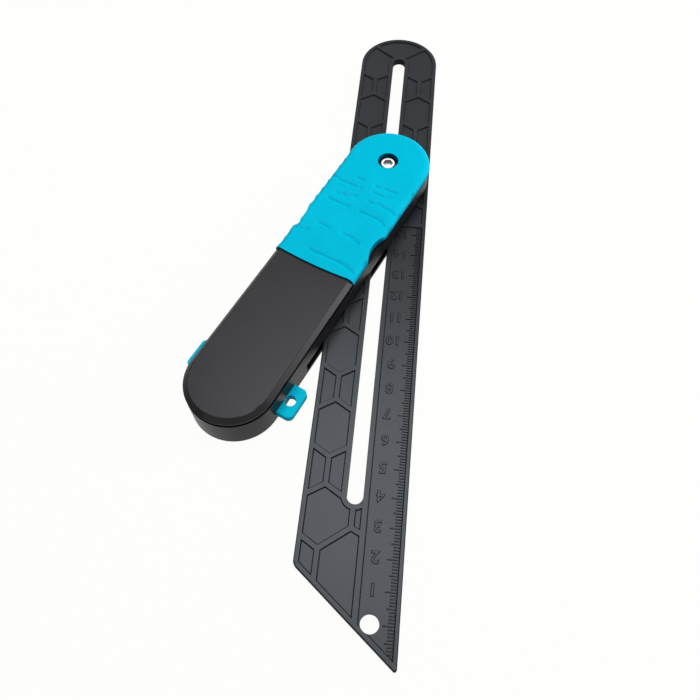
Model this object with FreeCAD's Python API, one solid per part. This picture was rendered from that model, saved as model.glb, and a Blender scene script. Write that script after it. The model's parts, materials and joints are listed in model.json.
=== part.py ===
import FreeCAD, Part
import os
from math import asin, atan2, cos, degrees, floor, hypot, radians, sin, sqrt, tan

os.makedirs("parts", exist_ok=True)

# An adjustable set square, in millimetres: a slotted blade that slides and swivels in a handle.
# +Y runs along the blade towards its round end, +Z is up, and the handle's underside lies on z = 0.
# The origin is under the middle of the whole object, as it lies with the handle folded near the blade.

# How the object is set
ear_to_blade = 3.306
pivot_mark = 177.3
overrun = 1.0

# Blade
blade_width = 35.0
blade_thickness = 3.0
mark_to_end = 268.9
mark_to_tip = 13.2
cut_angle = 39.5
tip_radius = 0.7
heel_radius = 2.5
blade_edge_chamfer = 0.3
slot_width = 5.5
slot_start = 36.6
slot_finish = 254.5
hang_radius = 3.0
hang_edge_gap = 9.2
hang_mark = 0.2

# Raised rims, ribs and sunk panels on both faces of the blade
rim_width = 1.6
slot_rim_width = 1.75
scale_rim_width = 1.3
panel_depth = 0.6
panel_draft = 0.38
rib_width = 1.6
comb_start = 42.8
comb_pitch = 31.33
comb_spread = 9.7
comb_slope = 32.0
end_rib_slope = 38.0
end_rib_mark = 254.3
scale_end = 154.8
heel_rib_x = -10.35
heel_fork_mark = 21.2
toe_rib_x = -0.3
toe_fork_mark = 28.8

# Handle
handle_radius = 16.75
handle_reach = 130.8
floor_thickness = 3.0
slot_gap = 4.4
wall = 2.5
shell_chamfer = 1.8
frame_roof = 2.2
frame_top = 14.6
groove_height = 0.5
groove_depth = 0.6
band_height = 1.6
band_draft = 0.35
top_crown_radius = 0.7
plate_skin = 2.2
lip_height = 1.0
lip_thickness = 1.5
rib_thickness = 1.6
frame_rib_gap = 19.0

# Teal cross bar with an ear at each end
ear_width = 12.7
ear_to_butt = 17.3
ear_proud = 5.93
slot_end_to_ear = 8.3
ear_corner_radius = 2.2
ear_edge_round = 0.4
ear_hole_radius = 2.1
ear_hole_proud = 2.05
peg_radius = 2.0

# Grip cover
cover_end = 59.6
cover_end_radius = 160.0
cover_proud = 0.45
cover_thickness = 0.9
cover_edge_round = 2.9
cover_skirt = 0.4
scoop_place = 40.8
scoop_depth = 1.8
scoop_radius = 14.0
stake_radius = 1.4
stake_head_radius = 2.2
stake_head_height = 0.8
stake_first = 14.0
stake_last = 38.0
stake_side = 9.5

# Clamp
shank_radius = 1.75
screw_head_radius = 2.95
screw_head_height = 1.8
screw_head_sink = 1.35
socket_flats = 3.6
socket_depth = 1.3
screw_head_chamfer = 0.25
recess_radius = 4.2
lining_wall = 0.6
head_washer_radius = 3.8
head_washer_thickness = 0.5
spring_washer_radius = 3.5
spring_washer_thickness = 0.5
nut_flats = 6.0
nut_height = 2.0
bush_length = 10.0
friction_washer_radius = 7.5
friction_washer_thickness = 0.6
pivot_boss_radius = 6.5
plate_boss_height = 1.55

# Screws that hold the handle together
shell_screw_radius = 1.3
shell_screw_head_radius = 2.4
shell_screw_head_height = 1.6
shell_screw_sink = 0.3
shell_screw_bite = 1.6
shell_boss_radius = 3.2
shell_screw_ahead = 3.3
shell_screw_behind = 8.0
shell_screw_edge_ahead = 6.35
shell_screw_edge_behind = 9.15
frame_screw_radius = 1.2
frame_screw_head_radius = 2.3
frame_screw_head_height = 1.2
frame_screw_place = 46.0
frame_screw_side = 9.0
frame_boss_radius = 3.0
cross_width = 0.6
cross_depth = 0.8
cross_arm_share = 0.6

# Clearances
running = 0.05
seat = 0.05
nut_fit = 0.05
tolerance = 0.001

# Levels, from the surface that the handle lies on
slot_floor = floor_thickness
slot_roof = slot_floor + slot_gap
blade_low = slot_floor + (slot_gap - blade_thickness) / 2
blade_high = blade_low + blade_thickness
band_low = frame_top
band_high = band_low + band_height
top_level = band_high + shell_chamfer
cover_level = top_level + cover_thickness
screw_head_top = cover_level - screw_head_sink
screw_head_low = screw_head_top - screw_head_height
recess_floor = screw_head_low - head_washer_thickness - spring_washer_thickness
boss_meeting = recess_floor - plate_boss_height
frame_floor = slot_roof + frame_roof

# Places along the handle, from the pivot
butt_centre = handle_reach - handle_radius
inner_radius = handle_radius - wall
ear_finish = handle_reach - ear_to_butt
ear_start = ear_finish - ear_width
ear_centre = ear_start + ear_width / 2
ear_reach = handle_radius + ear_proud
ear_hole_reach = handle_radius + ear_hole_proud
slot_depth = ear_start - slot_end_to_ear
screw_ahead = (ear_start - shell_screw_ahead, handle_radius - shell_screw_edge_ahead)
screw_behind = (ear_finish + shell_screw_behind, handle_radius - shell_screw_edge_behind)
shell_screw_places = [(place, side * k) for place, side in (screw_ahead, screw_behind) for k in (-1, 1)]
frame_screw_places = [(frame_screw_place, side * frame_screw_side) for side in (-1, 1)]
stake_places = [(place, side * stake_side) for place in (stake_first, stake_last) for side in (-1, 1)]

# How far the handle is turned from the blade, so that its nearer ear is a set gap from the blade's edge
ear_corner_x = ear_start + ear_corner_radius
ear_corner_y = ear_reach - ear_corner_radius
ear_to_centre = blade_width / 2 + ear_corner_radius + ear_to_blade
turn = asin(ear_to_centre / hypot(ear_corner_x, ear_corner_y)) + atan2(ear_corner_y, ear_corner_x)
handle_angle = degrees(turn)

# Where the pivot stands, so that the origin is under the middle of the object
cut = radians(cut_angle)
tip_rise = tip_radius * (tan(cut) + 1 / cos(cut) - 1)
left_reach = (ear_finish - ear_corner_radius) * sin(turn) + ear_corner_y * cos(turn) + ear_corner_radius
pivot_x = (left_reach - blade_width / 2) / 2
end_reach = mark_to_end - pivot_mark
tip_reach = pivot_mark + mark_to_tip - tip_rise
pivot_y = (tip_reach - end_reach) / 2
up = FreeCAD.Vector(0, 0, 1)


def point(x, y, z=0.0):
    return FreeCAD.Vector(x, y, z)


def on_blade(shape):
    """Takes a shape from the blade's own axes, with its centre line on x = 0, to its place."""
    shape.translate(point(pivot_x, pivot_y - pivot_mark, blade_low))
    return shape


def on_handle(shape):
    """Takes a shape from the handle's own axes, with the pivot at 0 and the butt along +x, to its place."""
    shape.rotate(point(0, 0), up, 270 - handle_angle)
    shape.translate(point(pivot_x, pivot_y))
    return shape


def save(name, shape):
    shape.exportStep("parts/" + name + ".step")
    print(name, "solids", len(shape.Solids), "valid", shape.isValid(), "volume", round(shape.Volume, 1))


def block(x0, x1, y0, y1, z0, z1):
    return Part.makeBox(x1 - x0, y1 - y0, z1 - z0, point(x0, y0, z0))


def rod(radius, z0, z1, x=0.0, y=0.0):
    return Part.makeCylinder(radius, z1 - z0, point(x, y, z0), up)


def rods(radius, z0, z1, places):
    return [rod(radius, z0, z1, x, y) for x, y in places]


def cone(r0, r1, z0, z1, x=0.0, y=0.0):
    return Part.makeCone(r0, r1, z1 - z0, point(x, y, z0), up)


def prism(points, z0, z1):
    corners = [point(x, y, z0) for x, y in points]
    return Part.Face(Part.makePolygon(corners + corners[:1])).extrude(up * (z1 - z0))


def hexagon(flats, z0, z1):
    corner = flats / sqrt(3)
    return prism([(corner * cos(radians(60 * k)), corner * sin(radians(60 * k))) for k in range(6)], z0, z1)


def long_hole(radius, first, last, z0, z1):
    """A prism with two straight sides along x and a round end about each of two centres."""
    sides = [
        Part.LineSegment(point(first, radius, z0), point(last, radius, z0)),
        Part.Arc(point(last, radius, z0), point(last + radius, 0, z0), point(last, -radius, z0)),
        Part.LineSegment(point(last, -radius, z0), point(first, -radius, z0)),
        Part.Arc(point(first, -radius, z0), point(first - radius, 0, z0), point(first, radius, z0)),
    ]
    wire = Part.Wire([side.toShape() for side in sides])
    return Part.Face(wire).extrude(up * (z1 - z0))


def level_edges(shape, level):
    """The edges of a shape that lie wholly at one level."""
    return [e for e in shape.Edges if abs(e.BoundBox.ZMin - level) + abs(e.BoundBox.ZMax - level) < tolerance]


def blade_outline(inset, scale_inset):
    """The blade's outline, drawn in by one width all round and by another along the scale."""
    left = -blade_width / 2 + inset
    right = blade_width / 2 - scale_inset
    end_radius = (right - left) / 2
    end_x = (right + left) / 2
    end_y = mark_to_end - inset - end_radius
    foot = -mark_to_tip + inset / cos(cut)
    tip_y = foot + scale_inset * tan(cut)
    heel_y = foot + (blade_width - inset) * tan(cut)
    corners = [point(right, end_y), point(right, tip_y), point(left, heel_y), point(left, end_y)]
    edges = [Part.LineSegment(a, b).toShape() for a, b in zip(corners[:-1], corners[1:])]
    edges.append(Part.Arc(corners[-1], point(end_x, end_y + end_radius), corners[0]).toShape())
    return Part.Face(Part.Wire(edges))


def upright_edge(shape, x, y):
    """The upright edge of a prism nearest to a place."""
    upright = [e for e in shape.Edges if e.BoundBox.ZLength > max(e.BoundBox.XLength, panel_depth / 2)]
    return min(upright, key=lambda e: (e.CenterOfMass.x - x) ** 2 + (e.CenterOfMass.y - y) ** 2)


def strip(x0, y0, x1, y1, width):
    """A raised rib between two places of the blade, as tall as a panel is deep."""
    run = hypot(x1 - x0, y1 - y0)
    side_x = (y0 - y1) / run * width / 2
    side_y = (x1 - x0) / run * width / 2
    points = [(x0 + side_x, y0 + side_y), (x1 + side_x, y1 + side_y), (x1 - side_x, y1 - side_y),
              (x0 - side_x, y0 - side_y)]
    return prism(points, 0, panel_depth)


def chevron(x, y, reach, slope):
    """Two ribs that leave one place to the left and the right, rising or falling by the slope."""
    rise = reach * tan(radians(slope))
    return [strip(x, y, x - reach, y + rise, rib_width), strip(x, y, x + reach, y + rise, rib_width)]


def comb_ribs():
    """Honeycomb ribs: along each arm a full cell follows two half cells that a short rib parts."""
    arm_out = blade_width / 2 - rim_width
    arm_in = slot_width / 2 + slot_rim_width
    arm_x = (arm_out + arm_in) / 2
    reach = (arm_out - arm_in) / 2 + rim_width / 2
    ribs = []
    cells = floor((slot_finish - comb_start) / comb_pitch) + 1
    for k in range(cells):
        low = comb_start + comb_pitch * k
        high = low + comb_spread
        arms = [-arm_x] + ([arm_x] if low > scale_end else [])
        for x in arms:
            ribs += chevron(x, low, reach, -comb_slope) + chevron(x, high, reach, comb_slope)
            ribs.append(strip(x, low, x, high, rib_width))
    for side in (-1, 1):
        far_x = (blade_width / 2 - rim_width) * cos(radians(end_rib_slope))
        far_y = end_rib_mark + far_x * tan(radians(end_rib_slope))
        ribs.append(strip(0, end_rib_mark, side * far_x, far_y, rib_width))
    return ribs


def toe_ribs():
    """Ribs between the slot and the slanting end: two forks and the uprights that meet them."""
    slope = tan(radians(comb_slope))
    left = -blade_width / 2 + rim_width / 2
    right = slot_width / 2
    rim_y = slot_start - slot_rim_width / 2
    heel_y = heel_fork_mark
    toe_y = toe_fork_mark
    foot = -mark_to_tip + (blade_width / 2 - heel_rib_x) * tan(cut)
    return [
        strip(toe_rib_x, rim_y, toe_rib_x, toe_y, rib_width),
        strip(toe_rib_x, toe_y, heel_rib_x, heel_y, rib_width),
        strip(heel_rib_x, heel_y, left, heel_y + (heel_rib_x - left) * slope, rib_width),
        strip(toe_rib_x, toe_y, right + slot_rim_width / 2, toe_y - (right - toe_rib_x) * slope, rib_width),
        strip(heel_rib_x, heel_y, heel_rib_x, foot, rib_width),
    ]


def flat_face(face):
    """The same face on a true plane, where all its edges are straight."""
    wire = face.OuterWire
    corners = [v.Point for v in wire.OrderedVertexes]
    reach = sum((b - a).Length for a, b in zip(corners, corners[1:] + corners[:1]))
    if wire.Length - reach > tolerance:
        return face
    try:
        return Part.Face(Part.makePolygon(corners + corners[:1]))
    except Part.OCCError:
        return face


def drawn_in(opening):
    """The opening drawn in by the draft, or by a half, a quarter or less where a side would get lost."""
    draft = panel_draft
    while draft > tolerance:
        try:
            wires = Part.Face(opening).makeOffset2D(-draft, join=2).Wires
        except (Part.OCCError, ValueError):
            wires = []
        if len(wires) == 1 and len(wires[0].Edges) == len(opening.Edges):
            return wires[0]
        draft = draft / 2
    return None


def sloped(pocket, open_level, floor_level):
    """A pocket with the same opening, whose walls slope inwards to its floor."""
    opening = [f for f in pocket.Faces if abs(f.CenterOfMass.z - open_level) < tolerance][0].OuterWire
    floor_wire = drawn_in(opening)
    if floor_wire is None:
        return pocket
    floor_wire.translate(up * (floor_level - open_level))
    loft = Part.makeLoft([opening, floor_wire], True, True)
    skin = Part.makeShell([flat_face(face) for face in loft.Faces])
    skin.sewShape()
    return Part.makeSolid(skin)


def blade_pockets(open_level, floor_level):
    """The sunk panels of one face, between z = 0 and z = panel_depth, with sloping walls."""
    rim_x = slot_width / 2 + slot_rim_width
    slot_rim = long_hole(rim_x, slot_start + slot_width / 2, slot_finish - slot_width / 2, 0, panel_depth)
    slot_rim.rotate(point(0, 0), up, 90)
    panels = blade_outline(rim_width, rim_width).extrude(up * panel_depth)
    spine = block(slot_width / 2, rim_x, -mark_to_tip, slot_start + slot_width, 0, panel_depth)
    over_scale = block(slot_width / 2, blade_width, -mark_to_tip, scale_end + rib_width / 2, 0, panel_depth)
    panels = panels.cut([slot_rim, spine, over_scale] + comb_ribs() + toe_ribs())
    scale = blade_outline(rim_width, scale_rim_width).extrude(up * panel_depth)
    scale = scale.common(block(rim_x, blade_width, -mark_to_tip, scale_end - rib_width / 2, 0, panel_depth))
    pockets = panels.fuse(scale).removeSplitter()
    return [sloped(pocket, open_level, floor_level) for pocket in pockets.Solids]


def blade():
    body = blade_outline(0, 0).extrude(up * blade_thickness)
    tip = upright_edge(body, blade_width / 2, -mark_to_tip)
    body = body.makeFillet(tip_radius, [tip])
    heel = upright_edge(body, -blade_width / 2, -mark_to_tip + blade_width * tan(cut))
    body = body.makeFillet(heel_radius, [heel])
    body = body.makeChamfer(blade_edge_chamfer, level_edges(body, 0) + level_edges(body, blade_thickness))
    slot = long_hole(slot_width / 2, slot_start + slot_width / 2, slot_finish - slot_width / 2, -overrun,
                     blade_thickness + overrun)
    slot.rotate(point(0, 0), up, 90)
    hole = rod(hang_radius, -overrun, blade_thickness + overrun, blade_width / 2 - hang_edge_gap, hang_mark)
    high_pockets = blade_pockets(panel_depth, 0)
    for pocket in high_pockets:
        pocket.translate(up * (blade_thickness - panel_depth))
    return body.cut([slot, hole] + blade_pockets(0, panel_depth) + high_pockets)


def shell(z0, z1, inset=0.0):
    """A prism over the handle's plan, drawn in by an inset."""
    return long_hole(handle_radius - inset, 0, butt_centre, z0, z1)


def behind(z0, z1, start, inset):
    """The part of the handle's inside that lies behind a cross wall."""
    return shell(z0, z1, inset).common(block(start, handle_reach, -handle_radius, handle_radius, z0, z1))


def bottom_shell():
    body = shell(0, slot_roof)
    body = body.makeChamfer(shell_chamfer, level_edges(body, 0))
    swing = block(-handle_radius - overrun, slot_depth, -handle_radius - overrun, handle_radius + overrun,
                  slot_floor, slot_roof + overrun)
    room = behind(slot_floor, slot_roof + overrun, slot_depth + wall, wall)
    bosses = rods(shell_boss_radius, slot_floor, slot_roof, shell_screw_places)
    rest_x = (ear_start, ear_finish - rib_thickness)
    rests = [block(x, x + rib_thickness, -inner_radius, inner_radius, slot_floor, blade_low) for x in rest_x]
    peg = rod(peg_radius, slot_floor, slot_roof, ear_centre, 0)
    above = slot_roof + overrun
    channel = block(ear_start - seat, ear_finish + seat, -ear_reach, ear_reach, blade_low, above)
    body = body.cut([swing, room]).fuse(bosses + rests).cut(channel).fuse(peg)
    nut_pocket = hexagon(nut_flats + 2 * nut_fit, -overrun, nut_height + 2 * nut_fit)
    bore = rod(shank_radius + running, -overrun, slot_floor + overrun)
    holes = [nut_pocket, bore] + rods(shell_screw_radius + seat, -overrun, above, shell_screw_places)
    sink = shell_screw_sink + shell_screw_head_height
    holes += rods(shell_screw_head_radius + seat, -overrun, sink, shell_screw_places)
    return body.cut(holes).removeSplitter()


def handle_frame():
    groove_low = frame_top - groove_height
    body = shell(slot_roof, groove_low).fuse(shell(groove_low, frame_top, groove_depth))
    room = shell(frame_floor, frame_top + overrun, wall)
    rib_count = floor(butt_centre / frame_rib_gap)
    ribs = [block(k * frame_rib_gap - rib_thickness / 2, k * frame_rib_gap + rib_thickness / 2, -inner_radius,
                  inner_radius, frame_floor, boss_meeting) for k in range(1, rib_count + 1)]
    bosses = [rod(pivot_boss_radius, frame_floor, boss_meeting)]
    bosses += rods(shell_boss_radius, frame_floor, boss_meeting, shell_screw_places)
    bosses += rods(frame_boss_radius, frame_floor, boss_meeting, frame_screw_places)
    keeper = block(ear_start, ear_finish, -handle_radius, handle_radius, blade_high + seat, slot_roof)
    keeper = keeper.common(shell(blade_high, slot_roof)).cut(shell(blade_high, slot_roof, wall))
    body = body.cut(room).fuse(ribs).fuse(bosses + [keeper])
    holes = [rod(shank_radius + running, slot_roof - overrun, frame_top)]
    holes += rods(shell_screw_radius + seat, slot_roof - overrun, frame_top, shell_screw_places)
    holes += rods(frame_screw_radius + seat, slot_roof - overrun, frame_top, frame_screw_places)
    holes.append(rod(peg_radius + seat, slot_roof - overrun, slot_roof + seat, ear_centre, 0))
    sink = slot_roof + frame_screw_head_height + seat
    for x, y in frame_screw_places:
        mouth = frame_screw_head_radius + 2 * seat
        holes.append(cone(mouth, frame_screw_radius + seat, slot_roof, sink, x, y))
    return body.cut(holes).removeSplitter()


def top_shape():
    """The top plate's outside: a short drafted band, a wide chamfer and a softened upper edge."""
    body = shell(band_low, top_level)
    body = body.makeChamfer(shell_chamfer, level_edges(body, top_level))
    body = body.makeFillet(top_crown_radius, level_edges(body, top_level))
    return body.makeChamfer(band_height - seat, band_draft, level_edges(body, band_low))


def scoops(gap):
    """Two upright rods that hollow the sides for the fingers, wider by a gap for what lies inside."""
    side = handle_radius + cover_proud - scoop_depth + scoop_radius
    return [rod(scoop_radius + gap, band_low - lip_height, cover_level + overrun, scoop_place, side * k)
            for k in (-1, 1)]


def top_plate():
    body = top_shape()
    room = shell(band_low - overrun, top_level - plate_skin, wall + lip_thickness)
    lip = shell(band_low - lip_height, band_low, wall + seat).cut(
        shell(band_low - lip_height, band_low, wall + lip_thickness))
    bosses = [rod(pivot_boss_radius, boss_meeting, top_level - plate_skin)]
    bosses += rods(shell_boss_radius, boss_meeting, top_level - plate_skin, shell_screw_places)
    bosses += rods(frame_boss_radius, boss_meeting, top_level - plate_skin, frame_screw_places)
    body = body.fuse(lip).cut(room).fuse(bosses)
    holes = [rod(shank_radius + running, boss_meeting - overrun, top_level)]
    holes.append(rod(recess_radius + lining_wall + seat, recess_floor, top_level + overrun))
    grip = top_level - plate_skin + shell_screw_bite / 2
    holes += rods(shell_screw_radius + seat, boss_meeting - overrun, grip, shell_screw_places)
    holes += rods(frame_screw_radius + seat, boss_meeting - overrun, grip, frame_screw_places)
    holes += rods(stake_radius + seat, band_low, top_level + overrun, stake_places)
    return body.cut(holes + scoops(cover_proud)).removeSplitter()


def cover_plan(radius, z0, z1):
    """The grip cover's plan: the handle's round head and a gently bowed end line."""
    centre = cover_end - cover_end_radius
    return long_hole(radius, 0, cover_end, z0, z1).common(rod(cover_end_radius, z0, z1, centre, 0))


def grip_cover():
    skirt_low = band_high - cover_skirt
    body = long_hole(handle_radius + cover_proud, 0, handle_reach, skirt_low, cover_level)
    body = body.makeFillet(cover_edge_round, level_edges(body, cover_level))
    body = body.common(cover_plan(handle_radius + 2 * cover_proud, skirt_low, cover_level))
    inside = top_shape().fuse(shell(skirt_low, band_high)).cut(scoops(cover_proud))
    body = body.cut([inside] + scoops(0))
    inner = top_level - plate_skin
    stakes = rods(stake_radius, inner, top_level, stake_places)
    stakes += rods(stake_head_radius, inner - stake_head_height, inner, stake_places)
    lining = rod(recess_radius + lining_wall, recess_floor + seat, top_level)
    recess = rod(recess_radius, recess_floor, cover_level + overrun)
    return body.fuse(stakes + [lining]).cut(recess).removeSplitter()


def ear_bar():
    body = block(ear_start, ear_finish, -ear_reach, ear_reach, blade_low, blade_high)
    upright = [e for e in body.Edges if e.BoundBox.ZLength > blade_thickness / 2]
    body = body.makeFillet(ear_corner_radius, upright)
    body = body.makeFillet(ear_edge_round, level_edges(body, blade_low) + level_edges(body, blade_high))
    places = [(ear_centre, side * ear_hole_reach) for side in (-1, 1)]
    holes = rods(ear_hole_radius, blade_low - overrun, blade_high + overrun, places)
    holes.append(rod(peg_radius + seat, blade_low - overrun, blade_high + overrun, ear_centre, 0))
    return body.cut(holes)


def cross_recess(x, y, z0, z1, arm):
    return [block(x - arm, x + arm, y - cross_width / 2, y + cross_width / 2, z0, z1),
            block(x - cross_width / 2, x + cross_width / 2, y - arm, y + arm, z0, z1)]


def clamp_screw():
    head = rod(screw_head_radius, screw_head_low, screw_head_top)
    head = head.makeChamfer(screw_head_chamfer, level_edges(head, screw_head_top))
    shank = rod(shank_radius, nut_fit * 2, screw_head_low)
    socket = hexagon(socket_flats, screw_head_top - socket_depth, screw_head_top + overrun)
    return head.fuse(shank).cut(socket)


def ring(outer, inner, z0, z1):
    return rod(outer, z0, z1).cut(rod(inner, z0 - overrun, z1 + overrun))


def spring_washer():
    """A dished disc: its middle stands above its rim by half its thickness."""
    dish = spring_washer_thickness / 2
    low = recess_floor
    high = recess_floor + spring_washer_thickness
    inner = shank_radius + 2 * running
    outer = spring_washer_radius
    inner_corners = [point(inner, 0, low + dish), point(inner, 0, high)]
    corners = inner_corners + [point(outer, 0, high - dish), point(outer, 0, low)]
    section = Part.Face(Part.makePolygon(corners + corners[:1]))
    return section.revolve(point(0, 0), up, 360)


def clamp_nut():
    body = hexagon(nut_flats, nut_fit, nut_fit + nut_height)
    return body.cut(rod(shank_radius + running, -overrun, nut_height + overrun))


def slot_bush():
    half_width = slot_width / 2 - running
    reach = bush_length / 2 - half_width
    body = long_hole(half_width, -reach, reach, blade_low + running, blade_high - running)
    return body.cut(rod(shank_radius + running, slot_floor, slot_roof))


def shell_screws():
    screws = []
    for x, y in shell_screw_places:
        low = shell_screw_sink
        high = low + shell_screw_head_height
        head = rod(shell_screw_head_radius, low, high, x, y)
        head = head.makeChamfer(shell_screw_head_height / 4, level_edges(head, low))
        shank = rod(shell_screw_radius, high, top_level - plate_skin, x, y)
        arm = shell_screw_head_radius * cross_arm_share
        screws.append(head.fuse(shank).cut(cross_recess(x, y, low - overrun, low + cross_depth, arm)))
    return Part.makeCompound(screws)


def frame_screws():
    screws = []
    for x, y in frame_screw_places:
        head_high = slot_roof + frame_screw_head_height
        head = cone(frame_screw_head_radius, frame_screw_radius, slot_roof + seat, head_high, x, y)
        shank = rod(frame_screw_radius, head_high, top_level - plate_skin, x, y)
        arm = frame_screw_head_radius * cross_arm_share
        recess = cross_recess(x, y, slot_roof - overrun, slot_roof + cross_depth, arm)
        screws.append(head.fuse(shank).cut(recess))
    return Part.makeCompound(screws)


# Blade and what slides in its slot
save("blade", on_blade(blade()))
bush = slot_bush()
bush.rotate(point(0, 0), up, 90)
bush.translate(point(pivot_x, pivot_y))
save("slot_bush", bush)
lower_ring = ring(friction_washer_radius, shank_radius + 2 * running, slot_floor + running,
                  slot_floor + running + friction_washer_thickness)
upper_ring = lower_ring.copy()
upper_ring.translate(up * (slot_gap - 2 * running - friction_washer_thickness))
save("lower_friction_washer", on_handle(lower_ring))
save("upper_friction_washer", on_handle(upper_ring))

# Handle
save("bottom_shell", on_handle(bottom_shell()))
save("handle_frame", on_handle(handle_frame()))
save("top_plate", on_handle(top_plate()))
save("grip_cover", on_handle(grip_cover()))
save("ear_bar", on_handle(ear_bar()))

# Clamp
save("clamp_screw", on_handle(clamp_screw()))
save("spring_washer", on_handle(spring_washer()))
washer_low = screw_head_low - head_washer_thickness
head_ring = ring(head_washer_radius, shank_radius + 2 * running, washer_low, screw_head_low)
save("head_washer", on_handle(head_ring))
save("clamp_nut", on_handle(clamp_nut()))

# Fasteners
save("shell_screws", on_handle(shell_screws()))
save("frame_screws", on_handle(frame_screws()))

print("pivot", round(pivot_x, 3), round(pivot_y, 3), "levels", blade_low, blade_high, top_level, cover_level)
print("handle angle", round(handle_angle, 3))
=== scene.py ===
# %% [markdown]
# # A plastic sliding bevel
# The object is a flat bevel gauge: a slotted black ruler blade swings and slides in a rounded
# black handle, a turquoise cap covers the handle's head, and a turquoise bar shows as an ear on
# each side of the handle. The solids come ready made, in one fixed frame. What is left to
# Blender is what a mould and a few years of use give such a tool: soft edges, raised ruler
# marks, the cap's shallow folds, and plastics that shine as they should.

# %% Load the fixed frame
import json
from math import radians, tan

import bpy
from mathutils import Matrix, Vector

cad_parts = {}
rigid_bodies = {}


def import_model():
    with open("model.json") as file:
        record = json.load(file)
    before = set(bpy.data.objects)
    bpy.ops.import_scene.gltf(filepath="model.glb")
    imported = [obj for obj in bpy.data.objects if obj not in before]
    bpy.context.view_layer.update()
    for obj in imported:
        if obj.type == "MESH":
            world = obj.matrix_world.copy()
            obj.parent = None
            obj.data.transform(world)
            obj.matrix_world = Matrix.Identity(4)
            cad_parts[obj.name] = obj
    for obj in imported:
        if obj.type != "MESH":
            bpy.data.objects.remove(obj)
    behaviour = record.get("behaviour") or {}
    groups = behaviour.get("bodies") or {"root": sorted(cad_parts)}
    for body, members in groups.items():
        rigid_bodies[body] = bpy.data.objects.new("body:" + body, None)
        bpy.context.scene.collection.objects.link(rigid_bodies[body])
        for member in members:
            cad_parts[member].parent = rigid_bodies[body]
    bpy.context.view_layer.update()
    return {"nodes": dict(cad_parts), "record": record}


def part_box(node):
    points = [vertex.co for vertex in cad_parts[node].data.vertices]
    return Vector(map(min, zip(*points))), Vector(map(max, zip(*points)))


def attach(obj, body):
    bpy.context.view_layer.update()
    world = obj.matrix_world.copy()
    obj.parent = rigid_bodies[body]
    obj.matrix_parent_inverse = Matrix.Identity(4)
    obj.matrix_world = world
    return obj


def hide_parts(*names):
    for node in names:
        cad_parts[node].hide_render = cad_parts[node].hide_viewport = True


bpy.ops.object.select_all(action="SELECT")
bpy.ops.object.delete()
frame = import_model()
bpy.ops.object.select_all(action="DESELECT")
for plain in list(bpy.data.materials):
    bpy.data.materials.remove(plain)
print("nodes", sorted(frame["nodes"]))

# %% [markdown]
# ## Two sets of axes
# The blade lies along the frame's own axes, but the handle is turned, so its details are
# easier to place from the pivot: `s` runs towards the butt and `t` across. One matrix takes a
# shape made in those axes to its place. Everything is in metres, so a millimetre gets a name.

# %% Places that the pieces share
mm = 0.001
pivot_x = 24.258 * mm
pivot_y = 49.058 * mm
handle_turn = radians(23.9)
handle_axes = Matrix.Rotation(radians(270) - handle_turn, 4, "Z")
to_handle = Matrix.Translation((pivot_x, pivot_y, 0)) @ handle_axes
blade_high_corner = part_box("blade")[1]
blade_right = blade_high_corner.x
blade_top = blade_high_corner.z
zero_to_pivot = 177.3 * mm
zero_mark = pivot_y - zero_to_pivot
print("the ruled edge is at x", round(blade_right, 5), "and the blade's top at z", round(blade_top, 5))

# %% [markdown]
# ## Camera
# The picture looks down at the tool from beside its pointed end. The place, the turn and the
# focal length were found by fitting a pinhole camera to the ruler's marks, so they are simply
# written down. A lens of 37 mm on a 36 mm wide sensor sees a little less than 52 degrees.

# %% Camera
camera_place = (0.03276822, -0.16309257, 0.23744377)
camera_turn = (radians(29.408879), radians(0.636015), radians(5.847722))
bpy.ops.object.camera_add(location=camera_place, rotation=camera_turn)
camera = bpy.context.object
camera.name = "camera"
camera.data.sensor_fit = "HORIZONTAL"
camera.data.sensor_width = 36
camera.data.lens = 37.03
camera.data.clip_start = 10 * mm
bpy.context.scene.camera = camera
print("camera at", tuple(round(v, 4) for v in camera.location))

# %% [markdown]
# ## Helpers for nodes
# Each finish is a small network round one Principled shader. Built by hand it would be a dozen
# nodes dragged into place and wired up, and the same few patterns would come back each time. So
# one helper adds any node and fills its inputs by name, and the others add a pattern each.


# %% Helpers for nodes
def add_node(tree, kind, **inputs):
    """Adds a shader node and sets its inputs by name, with _ for a space."""
    node = tree.nodes.new(kind)
    for name, value in inputs.items():
        socket = node.inputs[name.replace("_", " ")]
        if isinstance(value, bpy.types.NodeSocket):
            tree.links.new(value, socket)
        else:
            socket.default_value = value
    return node


def combined(tree, operation, first, second):
    """One number made from two."""
    node = tree.nodes.new("ShaderNodeMath")
    node.operation = operation
    tree.links.new(first, node.inputs[0])
    tree.links.new(second, node.inputs[1])
    return node.outputs[0]


def noise(tree, place, scale, detail):
    """A cloudy pattern from 0 to 1."""
    node = add_node(tree, "ShaderNodeTexNoise", Vector=place, Scale=scale, Detail=detail)
    return node.outputs["Fac"]


def spread(tree, value, **ends):
    """Spreads a number from one range over another."""
    return add_node(tree, "ShaderNodeMapRange", Value=value, **ends).outputs["Result"]


def shades(tree, fac, first, second):
    """A colour that drifts between two shades."""
    ramp = tree.nodes.new("ShaderNodeValToRGB")
    stops = ramp.color_ramp.elements
    for stop, position, colour in ((stops[0], 0.3, first), (stops[1], 0.7, second)):
        stop.position = position
        stop.color = (*colour, 1)
    tree.links.new(fac, ramp.inputs["Fac"])
    return ramp.outputs["Color"]


def shaded(tree, fac, dark, colour):
    """Paints shade: goes from a dark colour, where the mask is 0, to a pattern's colour."""
    node = add_node(tree, "ShaderNodeMixRGB", Fac=fac, Color1=(*dark, 1), Color2=colour)
    return node.outputs["Color"]


print("helpers for nodes are ready")
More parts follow.
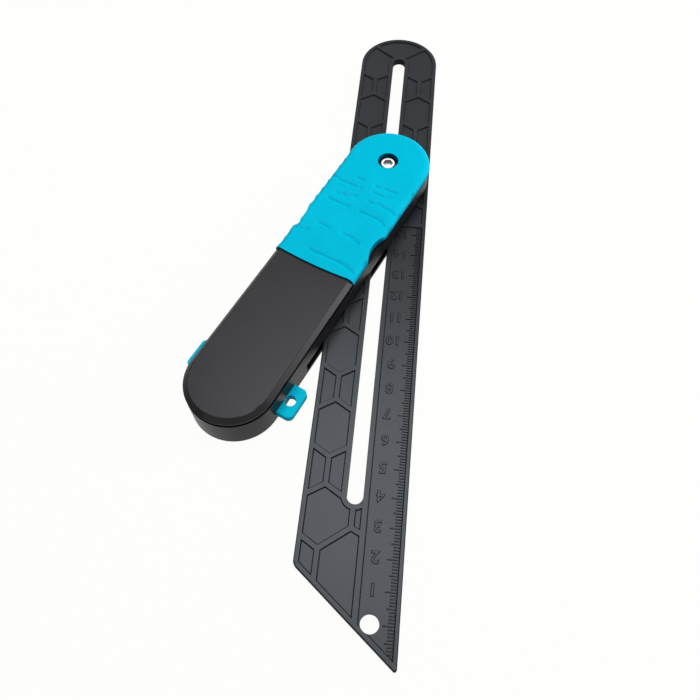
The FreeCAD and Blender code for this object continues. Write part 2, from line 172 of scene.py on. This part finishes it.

# %% [markdown]
# ## Helpers for finishes
# All patterns read Object coordinates, so they stay on a piece however it moves. The surface's
# own normal tells a level face from an upright one: the blade, the cap and the screw use it to
# paint shade on their upright faces, and the handle to lead its roughness. Values that never
# change are set on the shader itself.


# %% Helpers for finishes
def new_finish(name, **inputs):
    """A material with one Principled shader, whose plain values are set on its own sockets."""
    finish = bpy.data.materials.new(name)
    finish.use_nodes = True
    tree = finish.node_tree
    shader = tree.nodes["Principled BSDF"]
    for socket, value in inputs.items():
        shader.inputs[socket.replace("_", " ")].default_value = value
    place = tree.nodes.new("ShaderNodeTexCoord").outputs["Object"]
    return finish, tree, shader, place


def coat(tree, shader, colour, roughness):
    """Gives the shader its colour and its roughness."""
    tree.links.new(colour, shader.inputs["Base Color"])
    tree.links.new(roughness, shader.inputs["Roughness"])


def bumps(tree, shader, height, depth, strength):
    """Raises a fine relief."""
    bump = add_node(tree, "ShaderNodeBump", Height=height, Distance=depth, Strength=strength)
    tree.links.new(bump.outputs["Normal"], shader.inputs["Normal"])


def upwardness(tree):
    """The height of the surface's normal, in the piece's own axes."""
    normal = tree.nodes["Texture Coordinate"].outputs["Normal"]
    return add_node(tree, "ShaderNodeSeparateXYZ", Vector=normal).outputs["Z"]


def flatness(tree, low, high):
    """Rises from 0 on a piece's sides to 1 where its surface lies level, face up or down."""
    upright = tree.nodes.new("ShaderNodeMath")
    upright.operation = "ABSOLUTE"
    tree.links.new(upwardness(tree), upright.inputs[0])
    return spread(tree, upright.outputs[0], From_Min=low, From_Max=high)


print("helpers for finishes are ready")

# %% [markdown]
# ## Blade plastic
# The blade is a charcoal moulding with a fine matt grain. A matt mould leaves pits of about a
# tenth of a millimetre, which is the small noise in the bump, and the melt leaves slow, cloudy
# changes of shade and gloss, which is the large noise in colour and roughness. The walls of the
# ribs and rims are duller than the level faces, and are painted near black as painted shade,
# which draws them as thin dark lines.

# %% Blade plastic
blade_plastic, tree, shader, place = new_finish(
    "blade_plastic", Specular_IOR_Level=0.22, Specular_Tint=(0.86, 0.93, 1.0, 1))
clouds = noise(tree, place, 60.0, 4.0)
level = flatness(tree, 0.86, 0.98)
charcoal = shades(tree, clouds, (0.010, 0.011, 0.013), (0.016, 0.017, 0.020))
dull_sides = spread(tree, level, To_Min=0.75, To_Max=0.33)
satin = spread(tree, clouds, To_Min=-0.04, To_Max=0.04)
# painted shade: the upright walls of the ribs and rims get a near-black colour
coat(tree, shader, shaded(tree, level, (0.004, 0.004, 0.005), charcoal),
     combined(tree, "ADD", dull_sides, satin))
bumps(tree, shader, noise(tree, place, 7000.0, 2.0), 0.02 * mm, 0.5)
print("made", blade_plastic.name)

# %% [markdown]
# ## Handle plastic
# The handle is blacker than the blade, and its lid has a half gloss. One finish could do for
# all of it, with its roughness led by the normal: rougher where it faces up, smoother on the
# slopes. But black walls that stand beside a white floor mirror it at a shallow angle and turn
# grey, so the walls get a second finish that mirrors less and is painted darker as painted shade.

# %% Handle plastic
handle_plastic, tree, shader, place = new_finish(
    "handle_plastic", Specular_IOR_Level=0.19, Specular_Tint=(0.97, 0.95, 1.0, 1))
clouds = noise(tree, place, 90.0, 4.0)
half_gloss = spread(tree, upwardness(tree), From_Min=0.3, From_Max=0.9, To_Min=0.18, To_Max=0.36)
drift = spread(tree, clouds, To_Min=-0.04, To_Max=0.04)
black = shades(tree, clouds, (0.010, 0.010, 0.011), (0.014, 0.014, 0.015))
coat(tree, shader, black, combined(tree, "ADD", half_gloss, drift))
bumps(tree, shader, noise(tree, place, 5000.0, 2.0), 0.01 * mm, 0.4)

# painted shade: a darker copy of the handle's black that mirrors less, for walls and far slopes
shade_painted_wall_plastic, tree, shader, place = new_finish("shade_painted_wall_plastic", Specular_IOR_Level=0.10)
clouds = noise(tree, place, 90.0, 4.0)
black = shades(tree, clouds, (0.008, 0.008, 0.009), (0.012, 0.012, 0.014))
coat(tree, shader, black, spread(tree, clouds, To_Min=0.30, To_Max=0.38))
bumps(tree, shader, noise(tree, place, 5000.0, 2.0), 0.01 * mm, 0.4)
print("made", handle_plastic.name, "and", shade_painted_wall_plastic.name)

# %% [markdown]
# ## Turquoise plastic
# The grip cap and the ear bar share one strong turquoise with a satin skin. Its red is zero, so
# any white reflection greys it. The specular level is kept low for that reason, and a soft
# roughness spreads what is left. On the cap the steep sides are painted a deep blue as painted
# shade, for the folds and the screw's recess, where little light gets in.


# %% Turquoise plastic
def turquoise(name):
    """The shared turquoise. Its colour is handed back too, for a piece that paints shade onto it."""
    finish, tree, shader, place = new_finish(name, Specular_IOR_Level=0.02)
    clouds = noise(tree, place, 80.0, 3.0)
    colour = shades(tree, clouds, (0.0, 0.475, 0.67), (0.0, 0.515, 0.72))
    coat(tree, shader, colour, spread(tree, clouds, To_Min=0.40, To_Max=0.50))
    bumps(tree, shader, noise(tree, place, 4000.0, 2.0), 0.012 * mm, 0.4)
    return finish, tree, shader, colour


teal_plastic = turquoise("teal_plastic")[0]
cap_plastic, tree, shader, colour = turquoise("cap_plastic")
# painted shade: the cap's steep sides, in the folds and the screw's recess, go a deep blue
cap_colour_painted_shade = shaded(tree, flatness(tree, -0.15, 0.5), (0.0, 0.05, 0.16), colour)
tree.links.new(cap_colour_painted_shade, shader.inputs["Base Color"])
print("made", teal_plastic.name, "and", cap_plastic.name)

# %% [markdown]
# ## Steel and the plain inner plastic
# The clamp screw and its nut are zinc plated: bright on top, with faint scratches, and their
# upright faces, down in the socket among them, painted dark as painted shade. The washers are
# painted a dull dark blue-grey as painted shade for the recess they lie in, and the screws
# underneath are blackened and dull. The slide block and the friction discs inside are a pale,
# waxy plastic that shows only when the tool is taken apart.


# %% Steel and inner plastic
def dull_steel(name, dark, light):
    """Steel with no plating, mottled between two shades."""
    finish, tree, shader, place = new_finish(name, Metallic=1.0)
    mottle = noise(tree, place, 2500.0, 4.0)
    coat(tree, shader, shades(tree, mottle, dark, light),
         spread(tree, mottle, To_Min=0.3, To_Max=0.5))
    return finish


dark_steel = dull_steel("dark_steel", (0.05, 0.05, 0.055), (0.14, 0.14, 0.15))
# painted shade: the washers get a dark, dull colour for the shade of the recess they lie in
washer_steel_painted_shade = dull_steel("washer_steel_painted_shade", (0.05, 0.07, 0.09), (0.10, 0.13, 0.15))

bright_steel, tree, shader, place = new_finish("bright_steel", Metallic=1.0)
scratches = noise(tree, place, 2500.0, 4.0)
zinc = shades(tree, scratches, (0.78, 0.79, 0.80), (0.90, 0.91, 0.92))
# painted shade: upright faces, the socket's walls among them, are darkened
coat(tree, shader, shaded(tree, flatness(tree, 0.3, 0.9), (0.10, 0.10, 0.11), zinc),
     spread(tree, scratches, To_Min=0.18, To_Max=0.34))
bumps(tree, shader, scratches, 0.006 * mm, 0.5)

inner_plastic, tree, shader, place = new_finish("inner_plastic", Specular_IOR_Level=0.4)
clouds = noise(tree, place, 200.0, 3.0)
coat(tree, shader, shades(tree, clouds, (0.56, 0.56, 0.54), (0.64, 0.64, 0.62)),
     spread(tree, clouds, To_Min=0.4, To_Max=0.55))
print("made", dark_steel.name, washer_steel_painted_shade.name, bright_steel.name, inner_plastic.name)

# %% [markdown]
# ## Finishes on the ready solids
# Every node names its material slot in the record, so one loop gives each its finish. It saves
# picking fifteen nodes by hand, and it can't miss one. Only the two washers differ from their
# slot's usual finish: theirs is darkened as painted shade.

# %% Finishes on the ready solids
slot_finishes = (blade_plastic, handle_plastic, teal_plastic, bright_steel, dark_steel, inner_plastic)
finishes = {finish.name: finish for finish in slot_finishes}
for part in frame["record"]["subparts"]:
    solid = frame["nodes"][part["node"]]
    solid.data.materials.clear()
    solid.data.materials.append(finishes[part["material_slot"]])
for washer in ("head_washer", "spring_washer"):
    frame["nodes"][washer].data.materials[0] = washer_steel_painted_shade

# %% [markdown]
# ## Helpers for modelling
# An operator works on all that is selected, so a piece is first made the only selected object.
# Points keep their selection from one edit to the next, and so it is cleared before each. A
# place is applied to the mesh, so that every piece ends at the origin, unturned.


# %% Helpers for modelling
def only(piece):
    """Makes a piece the only selected object, and the active one."""
    bpy.ops.object.select_all(action="DESELECT")
    piece.select_set(True)
    bpy.context.view_layer.objects.active = piece


def settle(piece):
    """Puts a piece's place into its mesh."""
    only(piece)
    bpy.ops.object.transform_apply(location=True, rotation=True, scale=True)


def unselect_points():
    """Unselects every point, edge and face of the active mesh."""
    bpy.ops.object.mode_set(mode="EDIT")
    bpy.ops.mesh.select_all(action="DESELECT")
    bpy.ops.object.mode_set(mode="OBJECT")


def merged_copy(node, name):
    """A free copy of a ready solid, its loose triangles joined into one skin."""
    piece = bpy.data.objects.new(name, frame["nodes"][node].data.copy())
    bpy.context.collection.objects.link(piece)
    only(piece)
    bpy.ops.mesh.customdata_custom_splitnormals_clear()
    bpy.ops.object.mode_set(mode="EDIT")
    bpy.ops.mesh.select_all(action="SELECT")
    bpy.ops.mesh.remove_doubles(threshold=0.002 * mm)
    bpy.ops.object.mode_set(mode="OBJECT")
    return piece


def joined(pieces, name):
    """Joins pieces into one."""
    bpy.ops.object.select_all(action="DESELECT")
    for piece in pieces:
        piece.select_set(True)
    bpy.context.view_layer.objects.active = pieces[0]
    bpy.ops.object.join()
    whole = bpy.context.object
    whole.name = name
    return whole


print("helpers for modelling are ready")

# %% [markdown]
# ## Rounding and dressing
# A Bevel modifier limited by angle rounds what is sharp and leaves the curved faces alone. A
# Weighted Normal modifier then keeps the large level faces evenly lit beside their small round
# edges. A dressed piece gets its finish, rides on a body, and hides the solids it stands for.


# %% Rounding and dressing
def soften(piece, width):
    """Rounds every edge sharper than 30 degrees, as a mould does."""
    only(piece)
    bpy.ops.object.modifier_add(type="BEVEL")
    bevel = piece.modifiers[-1]
    bevel.width = width
    bevel.segments = 2
    bevel.limit_method = "ANGLE"
    bevel.angle_limit = radians(30)
    bevel.miter_outer = "MITER_ARC"
    bpy.ops.object.modifier_apply(modifier=bevel.name)


def dress(piece, finish, slot, body, *nodes):
    """Gives a piece its shading, finish and body, and hides the solids it stands for; the slot is not
    used.
    """
    only(piece)
    bpy.ops.object.shade_smooth_by_angle(angle=radians(50))
    bpy.ops.object.modifier_add(type="WEIGHTED_NORMAL")
    weighted = piece.modifiers[-1]
    weighted.keep_sharp = True
    weighted.weight = 100
    bpy.ops.object.modifier_apply(modifier=weighted.name)
    piece.data.materials.clear()
    piece.data.materials.append(finish)
    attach(piece, body)
    if nodes:
        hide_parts(*nodes)
    print(piece.name, "has", len(piece.data.polygons), "faces")


print("helpers for rounding and dressing are ready")

# %% [markdown]
# ## Soft edges on the mouldings
# No moulded edge is truly sharp: it is rounded by about a tenth of a millimetre, and that thin
# round is what catches the light along rims and ribs. The solids have none, so each visible one
# is copied, its triangles are merged, and every sharp edge is rounded. The blade's ribs are
# finer than the handle's corners, so its width is the smallest.

# %% Soft edges on the mouldings
soft_edges = [
    ("blade", "blade_moulding", 0.09 * mm, blade_plastic, "blade_plastic", "blade"),
    # painted shade: the floor and middle mouldings take the darker wall finish
    ("bottom_shell", "floor_moulding", 0.15 * mm, shade_painted_wall_plastic, "handle_plastic", "handle"),
    ("handle_frame", "middle_moulding", 0.12 * mm, shade_painted_wall_plastic, "handle_plastic", "handle"),
    ("top_plate", "lid_moulding", 0.12 * mm, handle_plastic, "handle_plastic", "handle"),
]
mouldings = {}
for node, name, width, finish, slot, body in soft_edges:
    mouldings[node] = merged_copy(node, name)
    soften(mouldings[node], width)
    dress(mouldings[node], finish, slot, body, node)

# %% [markdown]
# ## Two finishes on the lid
# The lid has both finishes: the half gloss on top, and the darker one with its painted shade on
# its upright band and on the slope that faces away to the left. A second material is added to
# the piece, and each face takes one of the two by the way it faces, as Assign does for selected
# faces in edit mode.

# %% Two finishes on the lid
lid = mouldings["top_plate"]
lid.data.materials.append(shade_painted_wall_plastic)
upright_below = 0.3
level_above = 0.9
# painted shade: upright faces and the slope facing away to the left take the darker wall finish
for face in lid.data.polygons:
    far_slope = face.normal.x < -upright_below and face.normal.z < level_above
    upright = abs(face.normal.z) < upright_below
    face.material_index = 1 if far_slope or upright else 0
print("faces with the wall finish", sum(face.material_index for face in lid.data.polygons))

# %% [markdown]
# ## Grip cap
# The cap is a thin rubbery skin with shallow folds that run across it, as if it had been squeezed
# along its length. Sculpting would do, but its strokes are hard to place. So the copy is turned
# into the handle's own axes, where the folds can be measured, and its upper skin is cut into a
# fine grid with Bisect, the lower skin being hidden meanwhile.

# %% Grip cap in the handle's axes
grip = merged_copy("grip_cover", "grip_skin")
grip.matrix_world = to_handle.inverted()
settle(grip)
unselect_points()
lower_skin_top = 16.1 * mm
for face in grip.data.polygons:
    lowest = min(grip.data.vertices[v].co.z for v in face.vertices)
    face.select = face.normal.z > 0.05 and lowest > lower_skin_top
bpy.ops.object.mode_set(mode="EDIT")
bpy.ops.mesh.select_mode(type="FACE")
bpy.ops.mesh.hide(unselected=True)
grid_step = 0.55 * mm
along = ((1, 0, 0), -16.8 * mm, 59.6 * mm)
across = ((0, 1, 0), -16.8 * mm, 16.9 * mm)
for normal, first, last in (along, across):
    for step in range(int((last - first) / grid_step) + 1):
        at = first + step * grid_step
        bpy.ops.mesh.select_all(action="SELECT")
        bpy.ops.mesh.bisect(plane_co=[n * at for n in normal], plane_no=normal)
bpy.ops.mesh.select_mode(type="VERT")
bpy.ops.object.mode_set(mode="OBJECT")
print("the cap's skin has", len(grip.data.vertices), "points")

# %% [markdown]
# ## Pressing a line into the skin
# By hand a fold is a row of points that is selected and pulled down with proportional editing
# on: the neighbours follow, less and less, and make the fold's rounded sides. The helper does
# just that for any line of points in the handle's axes, written in millimetres.


# %% Pressing a line into the skin
def off_line(point, first, last):
    """How far a point lies from a straight piece of a line, seen from above."""
    run = last - first
    share = max(0.0, min(1.0, (point - first).dot(run) / run.length_squared))
    return (point - first - share * run).length


def press(line, move, reach, falloff):
    """Moves the skin's points near a line, and their neighbours less and less."""
    corners = [Vector(corner) * mm for corner in line]
    found = 0
    unselect_points()
    for vertex in grip.data.vertices:
        flat = vertex.co.xy
        near = min(off_line(flat, a, b) for a, b in zip(corners, corners[1:]))
        vertex.select = near < reach * mm and not vertex.hide
        found += vertex.select
    bpy.ops.object.mode_set(mode="EDIT")
    bpy.ops.transform.translate(value=[m * mm for m in move], use_proportional_edit=True,
                                proportional_edit_falloff="SMOOTH", proportional_size=falloff * mm)
    bpy.ops.object.mode_set(mode="OBJECT")
    return found


print("the skin can be pressed")

# %% [markdown]
# ## Folds of the grip cap
# The real cap has a dozen short folds in two loose columns, where a thumb would press. Each was
# measured on the picture as a line of two to four points. All are half a millimetre deep.

# %% Folds of the grip cap
folds = [
    [(17.4, -15.6), (18.5, -12.0), (18.5, -7.4), (18.0, -2.5)],
    [(14.1, -7.0), (13.8, -3.7)],
    [(14.8, 2.0), (14.0, 6.7), (13.8, 11.1)],
    [(18.1, 2.7), (17.9, 7.1), (17.0, 10.0)],
    [(24.9, -10.0), (24.6, -6.2), (22.5, -1.7)],
    [(28.8, -11.7), (28.6, -6.1), (29.1, -1.9)],
    [(22.8, 3.0), (22.5, 7.4), (22.6, 11.9), (24.1, 15.5)],
    [(29.1, 2.1), (28.9, 7.0), (29.1, 11.0), (30.7, 14.6)],
    [(41.8, -8.5), (41.6, -3.6)],
    [(41.3, 2.4), (41.8, 6.5), (43.0, 9.9)],
    [(46.1, -10.5), (47.9, -15.0)],
    [(54.3, -5.3), (54.1, 2.0), (54.1, 9.1), (55.6, 15.0)],
]
fold_move = (0, 0, -0.50)
fold_reach = 0.3
fold_falloff = 0.95
print("points pressed", [press(fold, fold_move, fold_reach, fold_falloff) for fold in folds])

# %% [markdown]
# ## Nicks in the cap's rims
# Where a fold reaches the cap's edge it nicks the rim, more on the left than on the right. A
# nick is a short line at the rim that is pushed inwards and a little down. Afterwards the cap is
# shown whole again and turned back to its place on the handle.

# %% Nicks in the cap's rims
left_rim = -16.9
scoop_rim = -15.9
right_rim = 17.1
nicks = [(s, left_rim, 0.90) for s in (4.0, 8.6, 13.2, 17.4, 22.0, 26.8, 31.5, 50.9, 55.0)]
nicks.append((44.8, scoop_rim, 0.60))
nicks += [(s, right_rim, -0.25) for s in (11.0, 22.8, 30.5, 49.5)]
half_length = 0.4
nick_drop = -0.2
nick_reach = 0.5
nick_falloff = 1.5
nicked = []
for s, t, push in nicks:
    rim_line = [(s - half_length, t), (s + half_length, t)]
    nicked.append(press(rim_line, (0, push, nick_drop), nick_reach, nick_falloff))
print("points nicked", nicked)
bpy.ops.object.mode_set(mode="EDIT")
bpy.ops.mesh.reveal(select=False)
bpy.ops.object.mode_set(mode="OBJECT")
grip.matrix_world = to_handle
settle(grip)
dress(grip, cap_plastic, "teal_plastic", "handle", "grip_cover")

# %% [markdown]
# ## One bar of the ruler
# The ruler is moulded, not printed: low bars of the same plastic stand on the sunk strip beside
# the edge. A picture of the marks would be quicker, but it would catch no light. One bar is
# modelled from a cube, its top face drawn in so that its sides slope. Whole centimetres get long
# bars, halves shorter ones, and bars near the tip stop at the slanting rim.

# %% One bar of the ruler
strip_floor = blade_top - 0.6 * mm
mark_start = 1.4 * mm
mark_height = 0.36 * mm
mark_width = 0.50 * mm
top_share = 0.3
end_slope = 0.3 * mm
centimetre_bar = 3.95 * mm
half_bar = 3.05 * mm
millimetre_bar = 2.2 * mm
shortest_bar = 0.5 * mm
tip_angle = radians(39.5)
zero_to_tip = 11.13


def mark_bar(length):
    """One raised bar that starts at the strip's edge and points to the left."""
    bpy.ops.mesh.primitive_cube_add(size=1, location=(0, 0, 0))
    bar = bpy.context.object
    bar.dimensions = (length, mark_width, mark_height)
    settle(bar)
    unselect_points()
    for face in bar.data.polygons:
        face.select = face.normal.z > 0.9
    bpy.ops.object.mode_set(mode="EDIT")
    bpy.ops.transform.resize(value=(1 - end_slope / length, top_share, 1))
    bpy.ops.object.mode_set(mode="OBJECT")
    return bar


def mark_length(k):
    """The length of the bar at a whole millimetre, cut short by the slanting rim."""
    full = centimetre_bar if k % 10 == 0 else half_bar if k % 5 == 0 else millimetre_bar
    rim = (k + zero_to_tip) / tan(tip_angle) * mm
    return min(full, rim - mark_start)


print("lengths at the tip in mm", [round(mark_length(k) / mm, 2) for k in range(-9, -4)])

# %% [markdown]
# ## Ruler marks
# The marks repeat more than a hundred and fifty times, so a bar of each length is made once and
# copied, each copy with its own mesh. They are joined into one piece that rides on the blade.

# %% Ruler marks
bars = {}
marks = []
for k in range(-9, 154):
    length = round(mark_length(k), 6)
    if length < shortest_bar:
        continue
    if length not in bars:
        bars[length] = mark_bar(length)
    bar = bars[length].copy()
    bar.data = bars[length].data.copy()
    bpy.context.collection.objects.link(bar)
    bar_x = blade_right - mark_start - length / 2
    bar.location = (bar_x, zero_mark + k * mm, strip_floor + mark_height / 2)
    marks.append(bar)
for bar in bars.values():
    bpy.data.objects.remove(bar)
print("marks", len(marks), "in", len(bars), "lengths")
ruler_marks = joined(marks, "ruler_marks")
settle(ruler_marks)
dress(ruler_marks, blade_plastic, "blade_plastic", "blade")

# %% [markdown]
# ## Ruler numbers
# Plain raised numbers from 1 to 15 stand beside the centimetre marks, with their tops towards the
# pointed end. Digits could be drawn as curves point by point. A text object gives the same
# outline at once, and a small bevel gives it the raised, rounded stroke. It is made a mesh before
# it is put in its place.

# %% Ruler numbers
number_height = 3.9 * mm
height_to_size = 0.7
number_inset = 9.2 * mm
number_shift = 0.5
number_lift = 0.02 * mm
numbers = []
for k in range(1, 16):
    bpy.ops.object.text_add()
    text = bpy.context.object
    text.data.body = str(k)
    text.data.size = number_height / height_to_size
    text.data.align_x = "CENTER"
    text.data.align_y = "CENTER"
    text.data.bevel_depth = 0.24 * mm
    text.data.bevel_resolution = 0
    text.data.resolution_u = 4
    bpy.ops.object.convert(target="MESH")
    number = bpy.context.object
    number.rotation_euler = (0, 0, radians(180))
    number_y = zero_mark + (k * 10 + number_shift) * mm
    number.location = (blade_right - number_inset, number_y, strip_floor + number_lift)
    settle(number)
    numbers.append(number)
ruler_numbers = joined(numbers, "ruler_numbers")
dress(ruler_numbers, blade_plastic, "blade_plastic", "blade")

# %% [markdown]
# ## Who sees the white
# The picture's ground is plain white, with almost no shadow. A white floor under lamps alone
# would be grey here and burnt out there. So the floor and the surround show white to the camera
# and in reflections, and behave as ordinary dim things for the light that spreads. The Light
# Path node tells the two kinds of ray apart.


# %% Who sees the white
def seen_directly(tree):
    """1 for rays from the camera, off a mirror or through a gap, and 0 for light that spreads."""
    rays = tree.nodes.new("ShaderNodeLightPath")
    seen = rays.outputs["Is Camera Ray"]
    for other in ("Is Glossy Ray", "Is Transmission Ray"):
        seen = combined(tree, "MAXIMUM", seen, rays.outputs[other])
    return seen


print("the white can be told from the light")

# %% [markdown]
# ## Floor
# The floor is one wide sheet just under the tool. A glow gives its white, and a few hundredths of
# ordinary shading are mixed in, which is enough to keep the faint shadow round the handle.

# %% Floor
floor_level = -0.02 * mm
glow_share = 0.97
bpy.ops.mesh.primitive_plane_add(size=4, location=(0, 0, floor_level))
floor = bpy.context.object
floor.name = "floor"
paper = bpy.data.materials.new("white_ground")
paper.use_nodes = True
tree = paper.node_tree
shading = tree.nodes["Principled BSDF"]
shading.inputs["Base Color"].default_value = (0.8, 0.8, 0.8, 1)
shading.inputs["Roughness"].default_value = 0.9
shading.inputs["Specular IOR Level"].default_value = 0.1
glow = add_node(tree, "ShaderNodeEmission", Color=(1, 1, 0.99, 1), Strength=1.0)
white_share = spread(tree, seen_directly(tree), To_Min=0.0, To_Max=glow_share)
mix = add_node(tree, "ShaderNodeMixShader", Fac=white_share)
tree.links.new(shading.outputs["BSDF"], mix.inputs[1])
tree.links.new(glow.outputs["Emission"], mix.inputs[2])
tree.links.new(mix.outputs["Shader"], tree.nodes["Material Output"].inputs["Surface"])
floor.data.materials.append(paper)
print("floor is", tuple(round(v, 2) for v in floor.dimensions))

# %% [markdown]
# ## Light
# The surround gives only a little light of its own. Most comes from a large soft lamp high above
# the far half of the tool: seen from the camera, the level faces of the blade mirror it in their
# middle and lose it towards both ends, which is the sheen of the picture. A low lamp on the right
# lights the slope along the handle's right side and models the cap's folds.


# %% Light
def soft_lamp(name, place, aim, size, watts):
    """A square soft lamp at a place, turned to face another."""
    bpy.ops.object.light_add(type="AREA", location=place)
    lamp = bpy.context.object
    lamp.name = name
    lamp.data.size = size
    lamp.data.energy = watts
    lamp.rotation_euler = (Vector(aim) - Vector(place)).to_track_quat("-Z", "Y").to_euler()
    print(name, "gives", watts, "watts")


world = bpy.data.worlds.new("surround")
bpy.context.scene.world = world
world.use_nodes = True
tree = world.node_tree
surround = tree.nodes["Background"]
surround.inputs["Color"].default_value = (1, 1, 1, 1)
spread_strength = 0.12
white_or_dim = spread(tree, seen_directly(tree), To_Min=spread_strength, To_Max=1.0)
tree.links.new(white_or_dim, surround.inputs["Strength"])
soft_lamp("overhead_lamp", (0.03, 0.20, 0.9), (0.03, 0.20, 0), 0.54, 7.2)
soft_lamp("right_lamp", (0.8, 0.14, 0.27), (0, 0, 0.01), 0.42, 3.4)

# %% [markdown]
# ## Colour
# Colours are shown as they are, with the Standard view.

# %% Colour
bpy.context.scene.view_settings.view_transform = "Standard"
